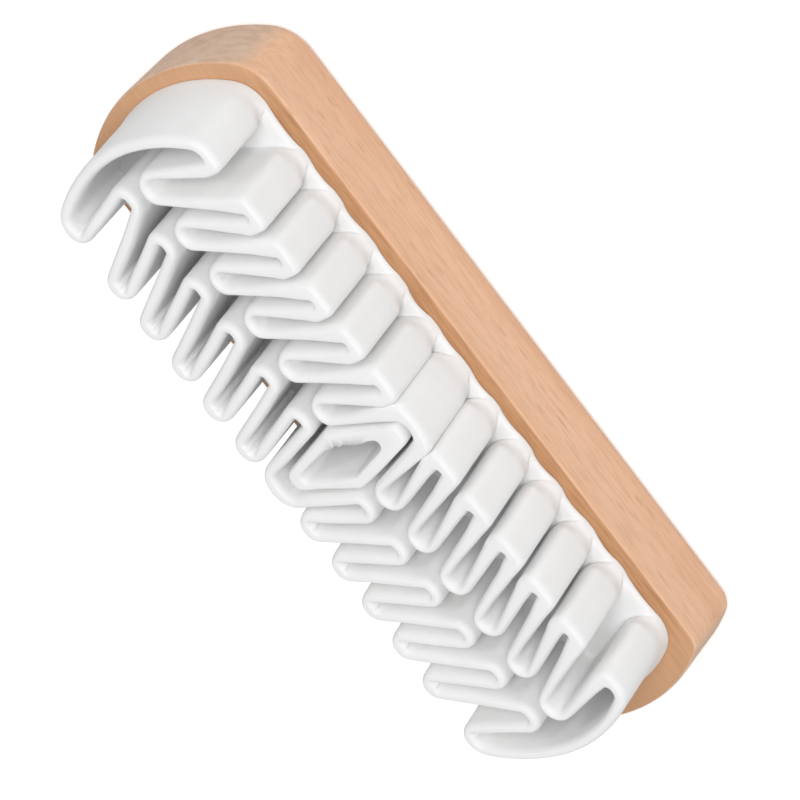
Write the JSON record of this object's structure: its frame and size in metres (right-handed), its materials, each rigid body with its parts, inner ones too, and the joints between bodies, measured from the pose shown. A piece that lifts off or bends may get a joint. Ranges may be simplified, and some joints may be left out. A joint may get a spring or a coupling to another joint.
{
  "type": "suede brush",
  "caption": "Hand brush for suede and nubuck: a bow-ended beech block with a tall pleated white crepe rubber comb glued to its face, and a lozenge ring in the middle cell.",
  "frame": {"origin": "middle of the flat wooden back, at the lowest point, with the brush lying on its back and the rubber up", "axes": "+X along the length, +Y across the width with the pictured long side at -Y, +Z from the wooden back to the rubber rim"},
  "size_m": [0.1354, 0.0454, 0.0305],
  "materials": {
    "beech": "plain sanded beech, matt, with short dark flecks along the length",
    "glue": "dried contact glue",
    "crepe_rubber": "white crepe rubber, matt, very fine grain"
  },
  "bodies": {
    "root": {"handle_block": "beech", "glue_bed": "glue", "crepe_backing": "crepe_rubber", "crepe_pleats": "crepe_rubber", "crepe_centre_ring": "crepe_rubber"}
  },
  "joints": []
}
